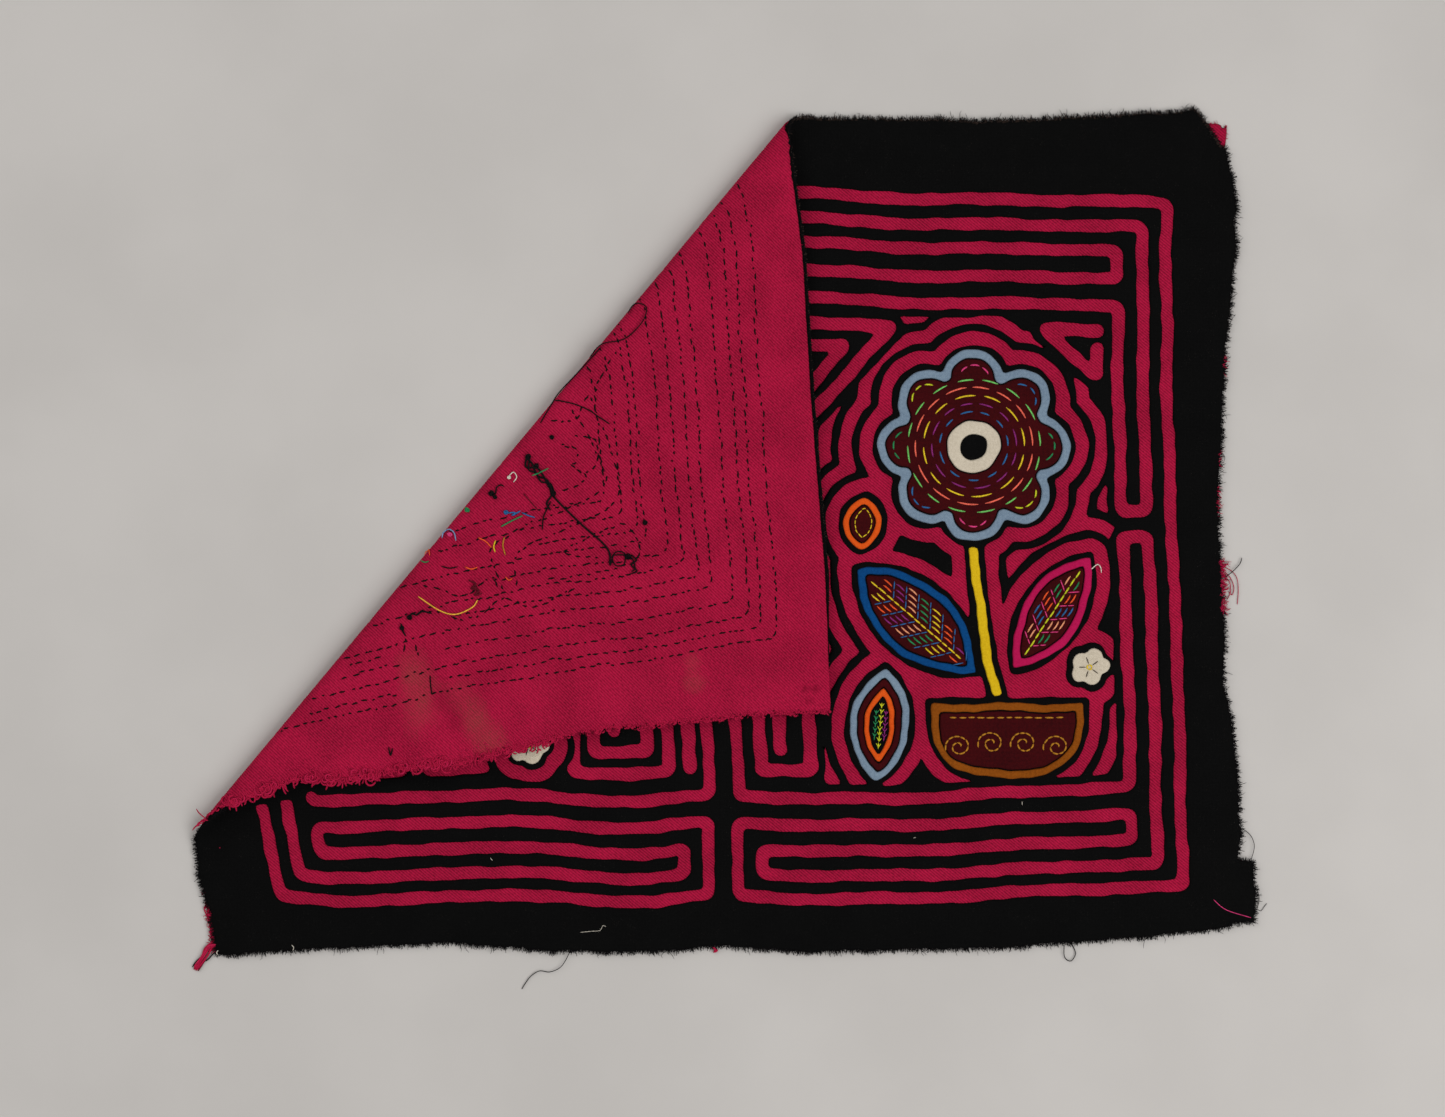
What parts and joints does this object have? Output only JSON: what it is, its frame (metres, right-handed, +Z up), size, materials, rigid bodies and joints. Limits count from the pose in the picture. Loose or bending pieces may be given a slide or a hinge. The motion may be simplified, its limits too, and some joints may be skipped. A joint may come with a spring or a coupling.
{
  "type": "mola panel",
  "caption": "Hand-sewn cotton mola panel lying flat with one corner folded over: black top cloth with cut channels on a magenta backing, and sewn-on patches.",
  "frame": {"origin": "on the surface it lies on, under the middle of the laid panel", "axes": "+X along the long edge towards the right, +Y towards the top edge, +Z up through the layers"},
  "size_m": [0.4402, 0.352, 0.011],
  "materials": {
    "backing": "matte woven cotton",
    "top": "matte woven cotton",
    "maroon": "matte woven cotton",
    "light_blue": "matte woven cotton",
    "blue": "matte woven cotton",
    "pink": "matte woven cotton",
    "orange": "matte woven cotton",
    "yellow": "matte woven cotton",
    "brown": "matte woven cotton",
    "white": "matte woven cotton"
  },
  "bodies": {
    "root": {"backing_cloth": "backing", "top_cloth": "top", "flower_rim": "light_blue", "flower_disc": "maroon", "flower_ring": "white", "blue_leaf_rim": "blue", "blue_leaf": "maroon", "pink_leaf_rim": "pink", "pink_leaf": "maroon", "pod_rim": "light_blue", "pod_band": "maroon", "pod_line": "orange", "bud_rim": "orange", "bud": "maroon", "pot_rim": "brown", "pot": "maroon", "stem": "yellow", "blossom": "white", "second_blossom": "white"}
  },
  "joints": []
}
